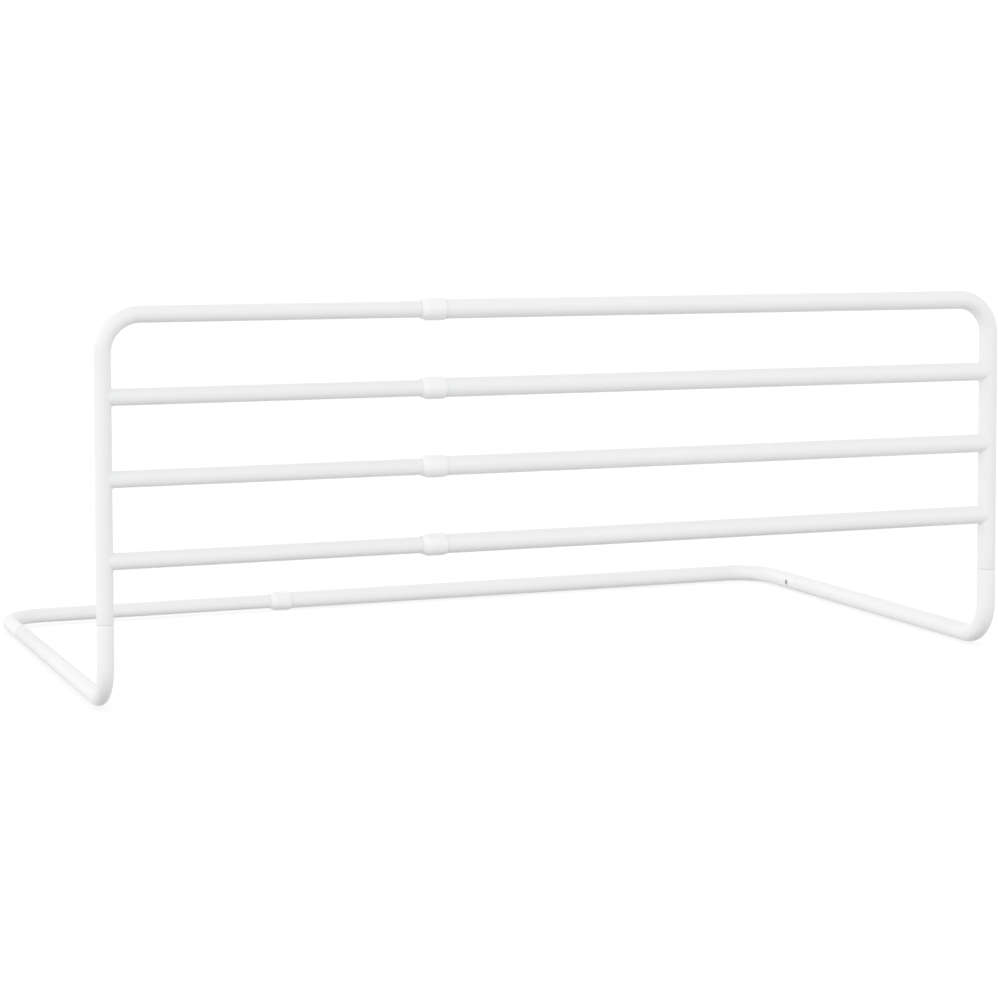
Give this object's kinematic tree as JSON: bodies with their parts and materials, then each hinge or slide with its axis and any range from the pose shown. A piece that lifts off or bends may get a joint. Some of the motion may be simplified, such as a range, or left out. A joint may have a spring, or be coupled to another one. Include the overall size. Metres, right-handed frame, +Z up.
{
  "type": "bed guard rail",
  "caption": "Free-standing tube guard rail for a bed side: barred panel on a U-shaped base, telescoping in width through collars.",
  "frame": {"origin": "on the floor under the middle of the rail's bounding box, as it stands at its pictured width", "axes": "+X along the panel towards the wide-tube half, +Y from the panel back to the rear bar, +Z up"},
  "size_m": [0.974, 0.553, 0.3858],
  "materials": {
    "white_powder_coat": "semi-gloss powder coat over steel tube",
    "white_plastic": "smooth moulded plastic, slightly cooler white than the tubes",
    "plug_plastic": "matt moulded plastic",
    "spring_steel": "zinc-plated spring steel"
  },
  "bodies": {
    "right_half": {"right_top_tube": "white_powder_coat", "right_leg_tube": "white_powder_coat", "right_rear_tube": "white_powder_coat", "right_low_crossbar": "white_powder_coat", "right_middle_crossbar": "white_powder_coat", "right_high_crossbar": "white_powder_coat", "top_rail_collar": "white_plastic", "low_crossbar_collar": "white_plastic", "middle_crossbar_collar": "white_plastic", "high_crossbar_collar": "white_plastic", "rear_bar_collar": "white_plastic", "right_post_clip": "spring_steel", "right_leg_clip": "spring_steel"},
    "left_half": {"left_top_tube": "white_powder_coat", "left_leg_tube": "white_powder_coat", "left_rear_tube": "white_powder_coat", "left_low_crossbar": "white_powder_coat", "left_middle_crossbar": "white_powder_coat", "left_high_crossbar": "white_powder_coat", "top_rail_guide_plug": "plug_plastic", "low_crossbar_guide_plug": "plug_plastic", "middle_crossbar_guide_plug": "plug_plastic", "high_crossbar_guide_plug": "plug_plastic", "rear_bar_guide_plug": "plug_plastic", "left_post_clip": "spring_steel", "left_leg_clip": "spring_steel"},
    "right_post_button": {"right_post_button": "spring_steel"},
    "right_leg_button": {"right_leg_button": "spring_steel"},
    "left_post_button": {"left_post_button": "spring_steel"},
    "left_leg_button": {"left_leg_button": "spring_steel"}
  },
  "joints": [
    {"name": "width_slide", "type": "slide", "parent": "right_half", "child": "left_half", "axis": [-1, 0, 0], "range_m": [-0.265, 0.295]},
    {"name": "right_post_button_press", "type": "hinge", "parent": "right_half", "child": "right_post_button", "pos_m": [0.4775, -0.25935, 0.0738], "axis": [1, 0, 0], "range_deg": [0, 3.6], "stiffness_Nm_per_rad": 5},
    {"name": "right_leg_button_press", "type": "hinge", "parent": "right_half", "child": "right_leg_button", "pos_m": [0.47135, 0.1385, 0.011], "axis": [0, 0, -1], "range_deg": [0, 3.6], "stiffness_Nm_per_rad": 5},
    {"name": "left_post_button_press", "type": "hinge", "parent": "left_half", "child": "left_post_button", "pos_m": [-0.479, -0.26098, 0.0738], "axis": [1, 0, 0], "range_deg": [0, 3.6], "stiffness_Nm_per_rad": 5},
    {"name": "left_leg_button_press", "type": "hinge", "parent": "left_half", "child": "left_leg_button", "pos_m": [-0.47448, 0.1385, 0.011], "axis": [0, 0, 1], "range_deg": [0, 3.6], "stiffness_Nm_per_rad": 5}
  ]
}
